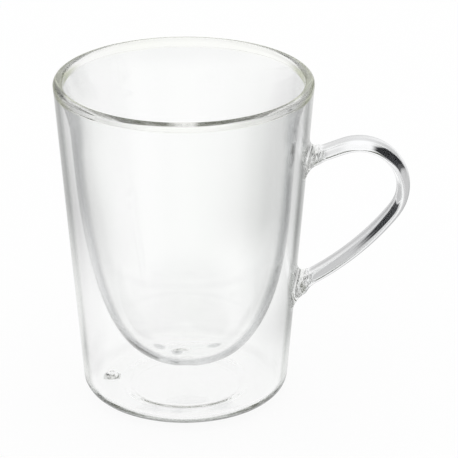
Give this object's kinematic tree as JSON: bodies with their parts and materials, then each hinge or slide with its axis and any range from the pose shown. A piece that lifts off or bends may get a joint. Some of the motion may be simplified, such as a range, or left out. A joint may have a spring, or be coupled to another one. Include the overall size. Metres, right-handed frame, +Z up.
{
  "type": "double-walled cup",
  "caption": "Clear double-walled glass mug: tapered outer vessel, round-nosed inner bowl fused at the rim, strap handle on weld pads, sealed vent in the base.",
  "frame": {"origin": "centre of the flat foot, on the surface that the mug stands on", "axes": "+Z up along the mug's axis, +X from the axis towards the handle, +Y across the handle"},
  "size_m": [0.1166, 0.085, 0.111],
  "materials": {
    "vessel_glass": "clear blown glass, polished, with faint mould waviness",
    "rim_glass": "fire-polished bead, faintly green where it is thick",
    "handle_glass": "clear solid drawn glass, fire polished",
    "weld_glass": "clear fused glass with a rippled weld line",
    "seal_glass": "clear flame-sealed bead"
  },
  "bodies": {
    "root": {"outer_vessel": "vessel_glass", "inner_vessel": "vessel_glass", "rim_bead": "rim_glass", "handle": "handle_glass", "upper_handle_pad": "weld_glass", "lower_handle_pad": "weld_glass", "vent_seal": "seal_glass"}
  },
  "joints": []
}
